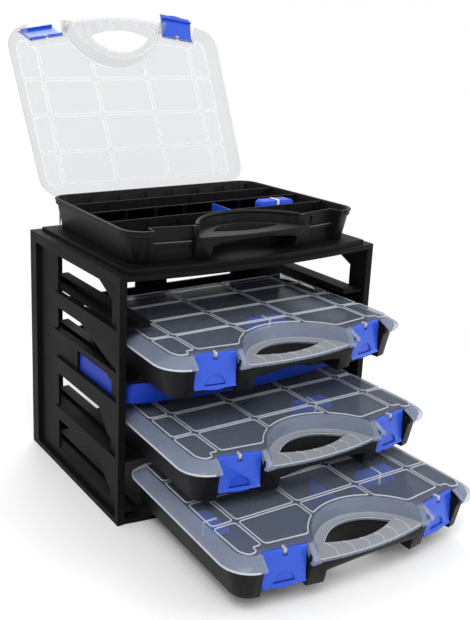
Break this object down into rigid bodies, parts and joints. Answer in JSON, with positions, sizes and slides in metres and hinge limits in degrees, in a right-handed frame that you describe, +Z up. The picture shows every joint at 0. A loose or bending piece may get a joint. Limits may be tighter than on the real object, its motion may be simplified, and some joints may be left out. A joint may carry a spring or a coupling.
{
  "type": "compartment storage box",
  "caption": "Open-sided rack with slide-in compartment cases that have clear lids and side latches, the top one open with its dividers and carrying handle.",
  "frame": {"origin": "centre of the rack's footprint, on the surface that it stands on", "axes": "+Z up, -Y out of the rack's front, the way the cases are drawn out, +X to the right of someone who faces the front"},
  "size_m": [0.4, 0.7048, 0.6341],
  "materials": {
    "rack_black": "fine matt texture",
    "tray_black": "satin",
    "lid_clear": "clear, slightly frosted",
    "latch_blue": "satin",
    "divider_blue": "satin",
    "shelf_blue": "satin",
    "band_white": "smooth"
  },
  "bodies": {
    "rack": {"rack_side_left": "rack_black", "rack_side_right": "rack_black", "rack_bottom_deck": "rack_black", "rack_top_deck": "rack_black", "rack_rear_frame": "rack_black", "rack_mid_shelf": "shelf_blue"},
    "top_case": {"top_case_base": "tray_black"},
    "top_lid": {"top_case_lid": "lid_clear"},
    "top_latch_left": {"top_case_latch_left": "latch_blue"},
    "top_latch_right": {"top_case_latch_right": "latch_blue"},
    "top_divider": {"top_case_divider": "divider_blue"},
    "top_stack": {"top_case_divider_stack": "divider_blue", "top_case_divider_stack_band": "band_white"},
    "upper_case": {"upper_case_base": "tray_black", "upper_case_lid": "lid_clear", "upper_case_divider_stack": "divider_blue", "upper_case_divider_stack_band": "band_white"},
    "upper_latch_left": {"upper_case_latch_left": "latch_blue"},
    "upper_latch_right": {"upper_case_latch_right": "latch_blue"},
    "middle_case": {"middle_case_base": "tray_black", "middle_case_lid": "lid_clear", "middle_case_divider_stack": "divider_blue", "middle_case_divider_stack_band": "band_white"},
    "middle_latch_left": {"middle_case_latch_left": "latch_blue"},
    "middle_latch_right": {"middle_case_latch_right": "latch_blue"},
    "lower_case": {"lower_case_base": "tray_black", "lower_case_lid": "lid_clear", "lower_case_divider_stack": "divider_blue", "lower_case_divider_stack_band": "band_white", "lower_case_side_stack": "divider_blue", "lower_case_side_stack_band": "band_white", "lower_case_divider": "divider_blue"},
    "lower_latch_left": {"lower_case_latch_left": "latch_blue"},
    "lower_latch_right": {"lower_case_latch_right": "latch_blue"}
  },
  "joints": [
    {"name": "upper_case_slide", "type": "slide", "parent": "rack", "child": "upper_case", "axis": [0, -1, 0], "range_m": [-0.091, 0.16]},
    {"name": "upper_latch_left_hinge", "type": "hinge", "parent": "upper_case", "child": "upper_latch_left", "pos_m": [-0.11653, -0.22074, 0.2479], "axis": [-0.986, 0.1668, 0], "range_deg": [0, 100]},
    {"name": "upper_latch_right_hinge", "type": "hinge", "parent": "upper_case", "child": "upper_latch_right", "pos_m": [0.11653, -0.22074, 0.2479], "axis": [-0.986, -0.1668, 0], "range_deg": [0, 100]},
    {"name": "middle_case_slide", "type": "slide", "parent": "rack", "child": "middle_case", "axis": [0, -1, 0], "range_m": [-0.149, 0.102]},
    {"name": "middle_latch_left_hinge", "type": "hinge", "parent": "middle_case", "child": "middle_latch_left", "pos_m": [-0.11653, -0.27874, 0.1429], "axis": [-0.986, 0.1668, 0], "range_deg": [0, 100]},
    {"name": "middle_latch_right_hinge", "type": "hinge", "parent": "middle_case", "child": "middle_latch_right", "pos_m": [0.11653, -0.27874, 0.1429], "axis": [-0.986, -0.1668, 0], "range_deg": [0, 100]},
    {"name": "lower_case_slide", "type": "slide", "parent": "rack", "child": "lower_case", "axis": [0, -1, 0], "range_m": [-0.24, 0.011]},
    {"name": "lower_latch_left_hinge", "type": "hinge", "parent": "lower_case", "child": "lower_latch_left", "pos_m": [-0.11653, -0.36974, 0.0719], "axis": [-0.986, 0.1668, 0], "range_deg": [0, 100]},
    {"name": "lower_latch_right_hinge", "type": "hinge", "parent": "lower_case", "child": "lower_latch_right", "pos_m": [0.11653, -0.36974, 0.0719], "axis": [-0.986, -0.1668, 0], "range_deg": [0, 100]},
    {"name": "top_case_lift", "type": "slide", "parent": "rack", "child": "top_case", "axis": [0, 0, 1], "range_m": [0, 0.12]},
    {"name": "top_lid_hinge", "type": "hinge", "parent": "top_case", "child": "top_lid", "pos_m": [0, 0.1395, 0.372], "axis": [-1, 0, 0], "range_deg": [-117, 0]},
    {"name": "top_latch_left_hinge", "type": "hinge", "parent": "top_lid", "child": "top_latch_left", "pos_m": [-0.11653, 0.26877, 0.59596], "axis": [-0.986, -0.0757, -0.1486], "range_deg": [-132, 8]},
    {"name": "top_latch_right_hinge", "type": "hinge", "parent": "top_lid", "child": "top_latch_right", "pos_m": [0.11653, 0.26877, 0.59596], "axis": [-0.986, 0.0757, 0.1486], "range_deg": [-90, 50]},
    {"name": "top_divider_lift", "type": "slide", "parent": "top_case", "child": "top_divider", "axis": [0, 0, 1], "range_m": [0, 0.045]},
    {"name": "top_stack_lift", "type": "slide", "parent": "top_case", "child": "top_stack", "axis": [0, 0, 1], "range_m": [0, 0.045]}
  ]
}
